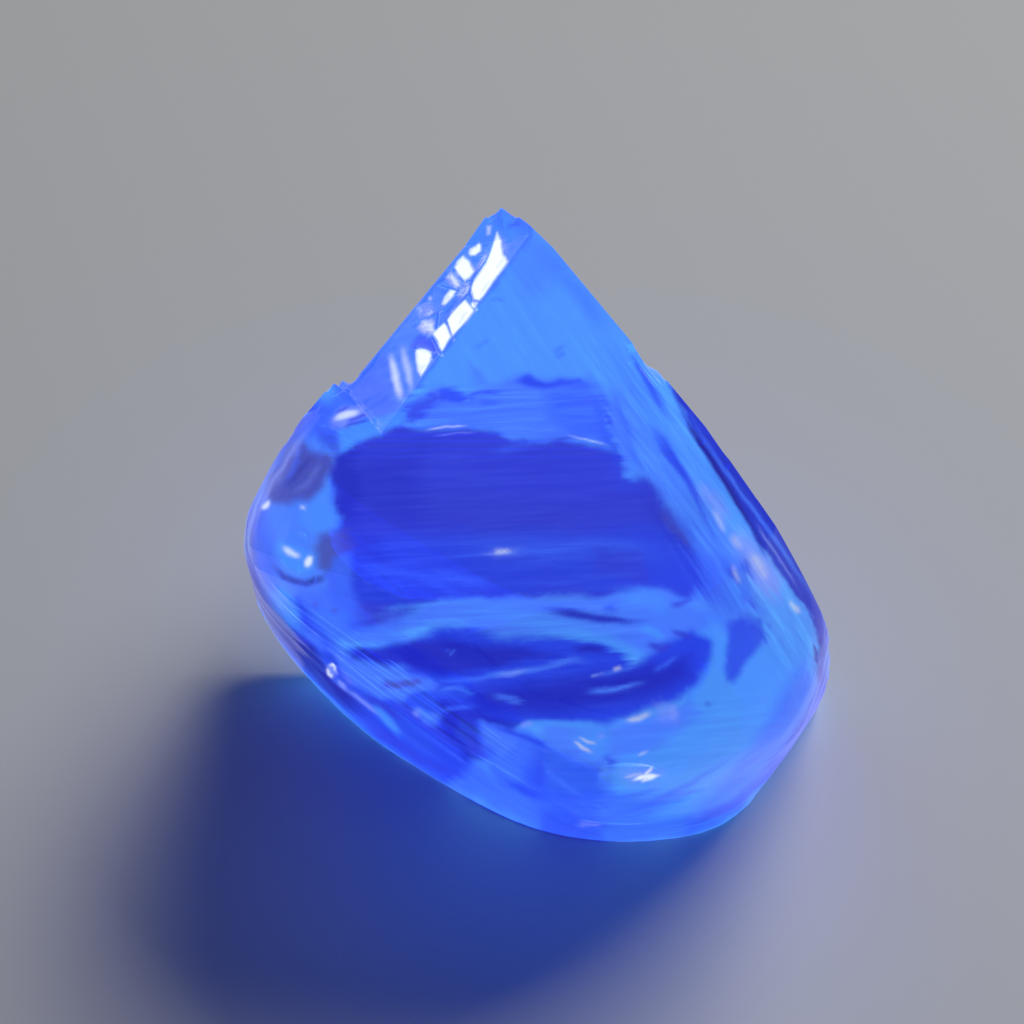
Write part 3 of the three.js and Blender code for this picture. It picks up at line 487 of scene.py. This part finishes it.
class CrystalSettings(bpy.types.PropertyGroup):
    """Sizes and colours of the diamond."""

    finest: bpy.props.FloatProperty(
        name="Finest edge", description="Shortest mesh edge along the rims of the marks",
        default=0.036 * MM, unit="LENGTH", precision=6)
    shown: bpy.props.FloatProperty(
        name="Shown edge", description="Longest mesh edge on the drawn side",
        default=0.19 * MM, unit="LENGTH", precision=6)
    hidden: bpy.props.FloatProperty(
        name="Hidden edge", description="Longest mesh edge on the other sides",
        default=0.36 * MM, unit="LENGTH", precision=6)
    hummock: bpy.props.FloatProperty(
        name="Hummocks", description="Depth of the hollows that dissolution left on the rounded skin",
        default=0.016 * MM, unit="LENGTH", precision=6)
    sunk: bpy.props.FloatProperty(
        name="Sunk ground", description="How far the bevel lies below its growth plates",
        default=0.012 * MM, unit="LENGTH", precision=6)
    tint: bpy.props.FloatVectorProperty(
        name="Tint", description="Colour that light takes on where it passes the surface",
        default=linear("#3C52C8"), size=3, subtype="COLOR")
    sheen: bpy.props.FloatVectorProperty(
        name="Sheen", description="Colour of the mirror image in the faces, seen square on",
        default=(0.05, 0.12, 0.6), size=3, subtype="COLOR")


class StageSettings(bpy.types.PropertyGroup):
    """Settings of the stage: the floor's colour."""

    floor_colour: bpy.props.FloatVectorProperty(
        name="Floor", description="Colour of the floor",
        default=linear("#D9D9D6"), size=3, subtype="COLOR")


def add(tree, kind, label, inputs=None, **settings):
    """Adds one node. Each input is a value or the output socket that it is linked to."""
    node = tree.nodes.new(kind)
    node.label = label
    for key, value in settings.items():
        setattr(node, key, value)
    for key, value in (inputs or {}).items():
        if isinstance(value, bpy.types.NodeSocket):
            tree.links.new(value, node.inputs[key])
        else:
            node.inputs[key].default_value = value
    return node


def value_noise(points, seed):
    """Smooth noise from -1 to 1 with one cell per unit."""
    cell = np.floor(points)
    f = points - cell
    f = f * f * (3 - 2 * f)
    total = np.zeros(len(points))
    for corner in np.ndindex(*(2,) * points.shape[1]):
        hashed = np.sin((cell + corner) @ (127.1, 311.7, 74.7)[:points.shape[1]] + 17.3 * seed) * 43758.5453
        total += (hashed - np.floor(hashed)) * np.prod(np.where(corner, f, 1 - f), 1)
    return 2 * total - 1


def smooth_step(low, high, value):
    """0 up to low, 1 from high on, and a smooth climb between them."""
    t = np.clip((value - low) / (high - low), 0, 1)
    return t * t * (3 - 2 * t)


def plan(points):
    """Where points are seen on the drawing plane, in millimetres from its middle: to the
    right and up."""
    seen = points - MIDDLE
    closer = EYE_DISTANCE / (EYE_DISTANCE - seen @ TOWARD)
    return np.stack([seen @ RIGHT, seen @ UP], 1) * closer[:, None]


def placed(path):
    """Places on the drawing in millimetres from its middle, to the right and up."""
    return (np.array(path) - DRAWN_MIDDLE) * (1, -1) / DRAWN_UNITS


def segment(points, a, b, wide_a=0.0, wide_b=0.0):
    """Distance to a tapered line, and how far along it the nearest point is."""
    run = b - a
    t = np.clip((points - a) @ run / (run @ run), 0, 1)
    gap = np.linalg.norm(points - a - t[:, None] * run, axis=1)
    return gap - (wide_a + (wide_b - wide_a) * t), t


def streak_gap(points, path, wide):
    """Distance to the side of a streak, and how much it has faded toward its ends."""
    wide = np.broadcast_to(wide, len(path))
    lengths = np.linalg.norm(path[1:] - path[:-1], axis=1)
    start, whole = 0.0, sum(lengths)
    nearest, fade = np.full(len(points), 1e9), np.zeros(len(points))
    for i, length in enumerate(lengths):
        gap, t = segment(points, path[i], path[i + 1], wide[i], wide[i + 1])
        along = (start + t * length) / whole
        closer = gap < nearest
        fade[closer] = (smooth_step(-0.05, 0.3, along) * smooth_step(1.05, 0.7, along))[closer]
        nearest = np.minimum(nearest, gap)
        start += length
    return nearest, fade


def patch_gap(points, outline):
    """Distance to the rim of a patch, negative inside it."""
    gap = np.full(len(points), 1e9)
    inside = np.zeros(len(points), bool)
    for a, b in zip(outline, np.roll(outline, -1, 0)):
        gap = np.minimum(gap, segment(points, a, b)[0])
        crosses = (a[1] > points[:, 1]) != (b[1] > points[:, 1])
        at = a[0] + (points[:, 1] - a[1]) * (b[0] - a[0]) / (b[1] - a[1] + 1e-12)
        inside ^= crosses & (points[:, 0] < at)
    return np.where(inside, -gap, gap)


def ragged(flat):
    """Points moved about a little, so that rims drawn with few corners look natural."""
    moves = [
        sum(far * value_noise(flat / over, seed + i) for i, (far, over) in enumerate(WANDER))
        for seed in (1, 3)
    ]
    return flat + np.stack(moves, 1)


def each_mark(flat, marks, margin=0.0):
    """Goes through marks: the mark and how soft its rim is in millimetres, the points near
    it, the distance to its rim and how strongly it shows there."""
    moved = ragged(flat)
    for mark in marks:
        soft, path = mark[3] / DRAWN_UNITS, placed(mark[4])
        wide = np.array(mark[5]) / DRAWN_UNITS if len(mark) > 5 else None
        reach = soft + (0 if wide is None else np.max(wide)) + 0.08 + margin
        near = np.flatnonzero(np.all((flat > path.min(0) - reach) & (flat < path.max(0) + reach), 1))
        if len(near) == 0:
            continue
        if wide is None:
            gap, fade = patch_gap(moved[near] if soft > 0.033 else flat[near], path), 1
        else:
            gap, fade = streak_gap(flat[near] + 0.4 * (moved[near] - flat[near]), path, wide)
        yield mark, soft, near, gap, smooth_step(soft, -soft, gap) * fade


def wanted_edge(flat, settings):
    """Edge length that shows the marks well, in millimetres: short along their rims."""
    finest, shown = settings.finest / MM, settings.shown / MM
    wanted = np.full(len(flat), shown)
    for mark, soft, near, gap, mask in each_mark(flat, MARKS, margin=0.1):
        if mark in BEVEL_GROUND:
            wanted[near] = np.where(mask > 0.1, GROUND_EDGE, wanted[near])
        elif mark[2] > 0.4:
            away = np.maximum(np.abs(gap) - soft, 0)
            wanted[near] = np.minimum(wanted[near], np.maximum(finest, 1.42 * soft + 0.62 * away))
    return wanted


def fibre_amounts(flat):
    """How strongly each set of fibres shows."""
    amounts = np.zeros((len(flat), 3))
    for (_, name, amount, *_), _, near, _, mask in each_mark(flat, FIBRED):
        channel = list(FIBRES).index(name)
        amounts[near, channel] = np.maximum(amounts[near, channel], amount * mask)
    return amounts


def drawn(flat, shift):
    """The painted glow, shade, highlights and reflections of the marks. The fibres shift all but the
    sparkles, which are painted glints.
    """
    colours = np.tile(linear("#5094FE"), (len(flat), 1))
    for moved, sparkles in ((flat + shift, False), (flat, True)):
        for (_, colour, amount, *rest), _, near, _, mask in each_mark(moved, MARKS):
            if (len(rest) > 2 and colour in ("milk", "pearl")) == sparkles:
                target = np.array(linear(PAINTED_GLOW[colour]))
                colours[near] += (target - colours[near]) * (amount * mask)[:, None]
    return colours


def shown_side(points, normals):
    """1 on the faces that are turned to the drawing, 0 on the others, and a smooth
    change over the worn skin between them."""
    drop = points @ FACE_NORMALS.T
    share = np.exp((drop - drop.max(0)) / 0.12)
    by_face = smooth_step(-0.06, 0.06, share @ (FACE_NORMALS @ TOWARD) / share.sum(1))
    return np.maximum(by_face, smooth_step(TOWARD_EYE, 0.2, normals @ TOWARD))


def undrawn(points):
    """The colours where nothing is drawn. Each octahedral face has painted glow along its edges and painted
    shade in its middle, where one looks deepest into the stone."""
    drop = points @ FACE_NORMALS.T
    inset = np.sort(drop.max(0) - drop, 1)[:, 1]
    cloud = value_noise(points / (1.3, 1.3, 0.6), 7) + 0.5 * value_noise(points / (0.5, 0.5, 0.25), 8)
    colours = np.tile(linear(PAINTED_GLOW["azure"]), (len(points), 1))
    depth = inset + 0.5 * cloud * smooth_step(0.3, 1.2, inset)
    for name, start, end in (("mid", 0.2, 0.6), ("royal", 0.75, 1.15), ("deep", 1.2, 1.9)):
        colours += (linear(PAINTED_GLOW[name]) - colours) * smooth_step(start, end, depth)[:, None]
    return colours


def crystal_colours(points, normals, tint):
    """Painted glow at both ends of the fibres, body colour darkened as painted shade, fibres and roughness
    at each vertex: points in millimetres."""
    flat = plan(points)
    shown = shown_side(points, normals)[:, None]
    away = undrawn(points)
    fibres = fibre_amounts(flat)
    shift = DRAWN_OUT * np.minimum(fibres / 0.3, 1) @ [
        (np.cos(np.radians(angle)), np.sin(np.radians(angle))) for angle, _, _ in FIBRES.values()]
    ends = [away + (drawn(flat, way * shift) - away) * shown for way in (-1, 1)]
    # Painted shade: the body colour darkens with the painted glow. The glow is lowered by what shines
    # through and, on the steep sides, by the floor's mirror image.
    clear = np.clip((ends[0] + ends[1])[:, 1] / 2 / UNSHADED_GREEN, 0.15, 1)[:, None]
    steep = smooth_step(0.6, 0.2, normals[:, 2])[:, None]
    glows = [np.maximum(end - np.sqrt(clear) * THROUGH - steep * MIRRORED, 0) for end in ends]
    rough = FACE_ROUGH + GROUND_ROUGHER * bevel_ground(points, normals)
    return {
        "glow": glows[0], "ahead": glows[1], "body": clear * tint,
        "fibres": fibres * shown + (0.12, 0, 0) * (1 - shown), "rough": rough}


def bevel_ground(points, normals):
    """1 on the bevel between its growth plates, 0 on the plates and elsewhere."""
    ground, plates = np.zeros((2, len(points)))
    for share, marks in ((ground, BEVEL_GROUND), (plates, PLATES)):
        for _, _, near, _, mask in each_mark(plan(points), marks):
            share[near] = np.maximum(share[near], mask)
    return ground * smooth_step(0.93, 0.98, normals @ BEVEL_NORMAL) * (1 - plates)


def fibre_pattern(tree, place, name):
    """Fine parallel fibres from -1 to 1, seen along the drawing's line of sight."""
    angle, length, width = FIBRES[name]
    along = Matrix.Rotation(np.radians(angle), 3, TOWARD) @ RIGHT
    across = TOWARD.cross(along)
    turned = add(tree, "ShaderNodeMapping", name + " fibres lie", {
        "Vector": place.outputs["Object"],
        "Rotation": Matrix((along, across, TOWARD)).transposed().to_euler(),
        "Scale": (length * MM, width * MM, length * MM)}, vector_type="TEXTURE")
    noise = add(tree, "ShaderNodeTexNoise", name + " fibres", {
        "Vector": turned.outputs[0], "Scale": 1.0, "Detail": 3.0, "Roughness": 0.6,
        "Distortion": 0.25})
    return add(tree, "ShaderNodeMapRange", name + " fibres spread", {
        "Value": noise.outputs["Fac"], "From Min": 0.33, "From Max": 0.67,
        "To Min": -1.0, "To Max": 1.0})


def natural_diamond(settings):
    """Diamond as it grew and was dissolved: glassy faces that mirror sharply and clear blue in the thick of
    the stone. It carries a painted glow, emission that stands in for its glow under ultraviolet light, with
    painted highlights, reflections and shade in it."""
    material = bpy.data.materials.new("natural diamond, grown and dissolved faces")
    material.use_nodes = True
    tree = material.node_tree
    tree.nodes.clear()
    place = add(tree, "ShaderNodeTexCoord", "Place")
    amounts = add(tree, "ShaderNodeSeparateColor", "Fibre amounts", {
        "Color": add(tree, "ShaderNodeAttribute", "Fibres", attribute_name="fibres").outputs["Color"]})
    total = None
    for i, name in enumerate(FIBRES):
        pattern = fibre_pattern(tree, place, name)
        total = add(tree, "ShaderNodeMath", name + " fibres amount", {
            0: pattern.outputs[0], 1: amounts.outputs[i], 2: total.outputs[0] if total else 0.0},
            operation="MULTIPLY_ADD")
    # Bright fibres are painted glow, standing for feathers of healed crystal that scatter it. Dark ones are
    # painted shade in the clear lanes between them.
    rim = add(tree, "ShaderNodeMapRange", "Rim drawn out", {
        "Value": total.outputs[0], "From Min": -0.1, "From Max": 0.1})
    glow = add(tree, "ShaderNodeMix", "Glow", {
        0: rim.outputs[0],
        6: add(tree, "ShaderNodeAttribute", "Glow behind", attribute_name="glow").outputs["Color"],
        7: add(tree, "ShaderNodeAttribute", "Glow ahead", attribute_name="ahead").outputs["Color"],
    }, data_type="RGBA")
    dark = add(tree, "ShaderNodeVectorMath", "Clear lane", {
        0: glow.outputs[2], 1: (0.45, 0.35, 0.72)}, operation="MULTIPLY")
    bright = add(tree, "ShaderNodeVectorMath", "Feather", {
        0: glow.outputs[2], 1: (1.7, 2.1, 1.35)}, operation="MULTIPLY")
    less = add(tree, "ShaderNodeMapRange", "Lane share", {
        "Value": total.outputs[0], "From Min": 0.0, "From Max": -1.0})
    more = add(tree, "ShaderNodeMapRange", "Feather share", {
        "Value": total.outputs[0], "From Min": 0.0, "From Max": 1.0})
    laned = add(tree, "ShaderNodeMix", "With lanes", {
        0: less.outputs[0], 6: glow.outputs[2], 7: dark.outputs[0]}, data_type="RGBA")
    fibred = add(tree, "ShaderNodeMix", "With feathers", {
        0: more.outputs[0], 6: laned.outputs[2], 7: bright.outputs[0]}, data_type="RGBA")
    # Faint growth striae, a few microns deep, break up the mirror images in the faces.
    striae = add(tree, "ShaderNodeTexNoise", "Striae", {
        "Vector": add(tree, "ShaderNodeMapping", "Striae lie", {
            "Vector": place.outputs["Object"], "Rotation": (0, 0, np.radians(60)),
            "Scale": (1.2 * MM, 0.06 * MM, 0.3 * MM)}, vector_type="TEXTURE").outputs[0],
        "Scale": 1.0, "Detail": 2.0})
    relief = add(tree, "ShaderNodeBump", "Striae relief", {
        "Height": striae.outputs["Fac"], "Strength": 0.25, "Distance": 0.003 * MM})
    rough = add(tree, "ShaderNodeAttribute", "Roughness", attribute_name="rough")
    body = add(tree, "ShaderNodeAttribute", "Body colour", attribute_name="body")
    shader = add(tree, "ShaderNodeBsdfPrincipled", "Diamond", {
        "Base Color": body.outputs["Color"],
        "Roughness": rough.outputs["Fac"],
        "IOR": 2.417,
        "Transmission Weight": 1.0,
        "Specular Tint": (*settings.sheen, 1),
        "Normal": relief.outputs[0],
        "Emission Color": fibred.outputs[2],
        "Emission Strength": 1.0,
    })
    volume = add(tree, "ShaderNodeVolumeAbsorption", "Body colour", {
        "Color": (0.1, 0.35, 0.7, 1), "Density": 650.0})
    add(tree, "ShaderNodeOutputMaterial", "Out", {
        "Surface": shader.outputs[0], "Volume": volume.outputs[0]})
    material.cycles.emission_sampling = "NONE"
    return material


def sliced(bm, spacing):
    """Cuts the faces along a grid, so that few triangles are long and thin."""
    for way in (RIGHT, UP, TOWARD):
        reach = [vert.co @ way for vert in bm.verts]
        for at in np.arange(min(reach) + 0.37 * spacing, max(reach), spacing):
            bmesh.ops.bisect_plane(
                bm, geom=[*bm.verts, *bm.edges, *bm.faces], dist=1e-6, plane_co=way * at, plane_no=way)
    bmesh.ops.triangulate(bm, faces=bm.faces)


def folds(bm):
    """Faces that share all their corners with another face, and so enclose nothing."""
    alike = {}
    for face in bm.faces:
        alike.setdefault(frozenset(face.verts), []).append(face)
    return [face for faces in alike.values() if len(faces) > 1 for face in faces]


def refined(bm, settings):
    """Splits edges until they are as short as the marks need. Thin triangles can fold flat
    when they are split, so the folds are taken out each time."""
    for _ in range(7):
        bm.normal_update()
        bm.verts.index_update()
        spots = np.array([vert.co for vert in bm.verts])
        turned = np.array([vert.normal for vert in bm.verts]) @ TOWARD
        ends = np.array([[vert.index for vert in edge.verts] for edge in bm.edges])
        length = np.linalg.norm(spots[ends[:, 0]] - spots[ends[:, 1]], axis=1)
        seen = turned[ends].max(1) > TOWARD_EYE
        limit = np.where(seen, settings.shown, settings.hidden)
        check = np.flatnonzero(seen & (length > settings.finest))
        limit[check] = MM * wanted_edge(plan(spots[ends[check]].mean(1) / MM), settings)
        long = np.flatnonzero(length > limit)
        if len(long) == 0:
            break
        bm.edges.ensure_lookup_table()
        bmesh.ops.subdivide_edges(bm, edges=[bm.edges[i] for i in long], cuts=1)
        wide = [face for face in bm.faces if len(face.verts) > 3]
        bmesh.ops.triangulate(bm, faces=wide, quad_method="SHORT_EDGE", ngon_method="BEAUTY")
        bmesh.ops.delete(bm, geom=folds(bm), context="FACES")


def smoothed(bm, verts):
    """Moves each vertex halfway to the middle of its neighbours, round after round."""
    for _ in range(ROUNDS):
        bmesh.ops.smooth_vert(
            bm, verts=verts, factor=0.5, use_axis_x=True, use_axis_y=True, use_axis_z=True)


def lowered(bm, settings):
    """Sinks the bevel below its plates and lays shallow hollows into the rounded skin."""
    bm.normal_update()
    points = np.array([vert.co for vert in bm.verts]) / MM
    normals = np.array([vert.normal for vert in bm.verts])
    edges = KDTree(len(bm.verts))
    for vert in bm.verts:
        if any(not edge.smooth for edge in vert.link_edges):
            edges.insert(vert.co, 0)
    edges.balance()
    from_edge = np.array([edges.find(vert.co)[2] for vert in bm.verts])
    bumps = 0.5 + 0.5 * value_noise(points / 0.15, 11)
    depth = settings.sunk * bevel_ground(points, normals) * (0.5 + 2.6 * bumps) * smooth_step(
        0, 0.1 * MM, from_edge)
    flat = np.max(normals @ FACE_NORMALS.T, 1)
    hollows = 0.5 + 0.35 * value_noise(points / 0.34, 12) + 0.15 * value_noise(points / 0.13, 13)
    depth += settings.hummock * smooth_step(0.9995, 0.985, flat) * hollows * smooth_step(
        0, 0.3 * MM, from_edge)
    for vert, way, sink in zip(bm.verts, normals, depth):
        vert.co -= Vector(way) * sink


def crystal_mesh(node, settings):
    """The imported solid, cut finely, with its skin rounded and its relief cut in."""
    bm = bmesh.new()
    bm.from_mesh(node.data)
    bmesh.ops.remove_doubles(bm, verts=bm.verts, dist=1e-6)
    bmesh.ops.dissolve_limit(bm, angle_limit=0.001, verts=bm.verts, edges=bm.edges)
    for edge in bm.edges:
        edge.smooth = edge.is_manifold and edge.calc_face_angle() < SHARP
    sliced(bm, CUTS_APART * MM)
    refined(bm, settings)
    # The skin is rounded between its sharp edges, and the worn corners all over.
    smoothed(bm, [vert for vert in bm.verts if all(edge.smooth for edge in vert.link_edges)])
    flat = plan(np.array([vert.co for vert in bm.verts]) / MM)
    worn = np.min([np.hypot(*(flat - placed(spot)).T) - wide / DRAWN_UNITS for spot, wide in WORN], 0) < 0
    smoothed(bm, [vert for vert, use in zip(bm.verts, worn) if use])
    lowered(bm, settings)
    for face in bm.faces:
        face.smooth = True
    mesh = bpy.data.meshes.new("diamond_crystal")
    bm.to_mesh(mesh)
    bm.free()
    return mesh


class DIAMOND_OT_crystal(bpy.types.Operator):
    """Refine the crystal and give it its surface"""

    bl_idname = "diamond.crystal"
    bl_label = "Crystal"

    def execute(self, context):
        settings = context.scene.diamond_crystal
        mesh = crystal_mesh(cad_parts[NODE], settings)
        count = len(mesh.vertices)
        points, normals = np.empty(3 * count), np.empty(3 * count, np.float32)
        mesh.vertices.foreach_get("co", points)
        mesh.vertex_normals.foreach_get("vector", normals)
        colours = crystal_colours(points.reshape(-1, 3) / MM, normals.reshape(-1, 3), settings.tint)
        for name, values in colours.items():
            if values.ndim == 1:
                mesh.attributes.new(name, "FLOAT", "POINT").data.foreach_set("value", values)
            else:
                layer = mesh.color_attributes.new(name, "FLOAT_COLOR", "POINT")
                layer.data.foreach_set("color", np.column_stack([values, np.ones(count)]).ravel())
        piece = bpy.data.objects.new("diamond_crystal", mesh)
        context.scene.collection.objects.link(piece)
        mesh.materials.append(natural_diamond(settings))
        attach(piece, "root")
        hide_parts(NODE)
        return {"FINISHED"}


class DIAMOND_OT_stage(bpy.types.Operator):
    """Lay the floor, hang the lights and place the camera"""

    bl_idname = "diamond.stage"
    bl_label = "Stage"

    def execute(self, context):
        settings = context.scene.diamond_stage
        scene = context.scene
        bpy.ops.mesh.primitive_plane_add(size=2.0, location=(0, 0, -0.00001))
        floor = context.active_object
        floor.name = "floor"
        # Uncoated studio paper: pale, with no mirror image of the stone in it.
        paper = bpy.data.materials.new("matt paper")
        paper.use_nodes = True
        paper.node_tree.nodes["Principled BSDF"].inputs["Base Color"].default_value = (
            *settings.floor_colour, 1)
        paper.node_tree.nodes["Principled BSDF"].inputs["Roughness"].default_value = 0.9
        floor.data.materials.append(paper)

        def soft_box(name, azimuth, elevation, distance, size, radiance):
            a, e = np.radians(azimuth), np.radians(elevation)
            way = Vector((np.cos(a) * np.cos(e), np.sin(a) * np.cos(e), np.sin(e)))
            data = bpy.data.lights.new(name, "AREA")
            data.shape = "RECTANGLE"
            data.size, data.size_y = size[0] * MM, size[1] * MM
            data.energy = radiance * np.pi * data.size * data.size_y
            box = bpy.data.objects.new(name, data)
            box.location = Vector((0, 0, 3 * MM)) + way * distance * MM
            box.rotation_mode = "QUATERNION"
            box.rotation_quaternion = way.to_track_quat("Z", "Y")
            scene.collection.objects.link(box)

        soft_box("high right", 38, 60, 90, (56, 44), 5.8)
        soft_box("low back left", 114, 2, 60, (18, 20), 2.2)

        world = bpy.data.worlds.new("dim room")
        world.use_nodes = True
        world.node_tree.nodes["Background"].inputs["Color"].default_value = (0.5, 0.6, 1, 1)
        world.node_tree.nodes["Background"].inputs["Strength"].default_value = 0.06
        scene.world = world

        data = bpy.data.cameras.new("camera")
        data.lens = 150
        data.sensor_width = 36
        data.clip_start, data.clip_end = 1 * MM, 5000 * MM
        camera = bpy.data.objects.new("camera", data)
        camera.location = (MIDDLE + TOWARD * EYE_DISTANCE) * MM
        camera.rotation_mode = "QUATERNION"
        camera.rotation_quaternion = TOWARD.to_track_quat("Z", "Y")
        scene.collection.objects.link(camera)
        scene.camera = camera
        scene.view_settings.view_transform = "Standard"
        scene.cycles.max_bounces = 12
        scene.cycles.glossy_bounces = 10
        scene.cycles.transmission_bounces = 10
        return {"FINISHED"}


class DIAMOND_PT_panel(bpy.types.Panel):
    """Lists the crystal and the stage"""

    bl_label = "Rough Diamond"
    bl_idname = "DIAMOND_PT_panel"
    bl_space_type = "VIEW_3D"
    bl_region_type = "UI"
    bl_category = "Diamond"

    def draw(self, context):
        for group, operator in (
            ("diamond_crystal", DIAMOND_OT_crystal.bl_idname),
            ("diamond_stage", DIAMOND_OT_stage.bl_idname),
        ):
            box = self.layout.box()
            settings = getattr(context.scene, group)
            for name in settings.__annotations__:
                box.prop(settings, name)
            box.operator(operator)


CLASSES = (CrystalSettings, StageSettings, DIAMOND_OT_crystal, DIAMOND_OT_stage, DIAMOND_PT_panel)


def register():
    for cls in CLASSES:
        bpy.utils.register_class(cls)
    bpy.types.Scene.diamond_crystal = bpy.props.PointerProperty(type=CrystalSettings)
    bpy.types.Scene.diamond_stage = bpy.props.PointerProperty(type=StageSettings)


def unregister():
    del bpy.types.Scene.diamond_stage
    del bpy.types.Scene.diamond_crystal
    for cls in reversed(CLASSES):
        bpy.utils.unregister_class(cls)


def main():
    register()
    bpy.ops.diamond.crystal()
    bpy.ops.diamond.stage()


if __name__ == "__main__":
    main()
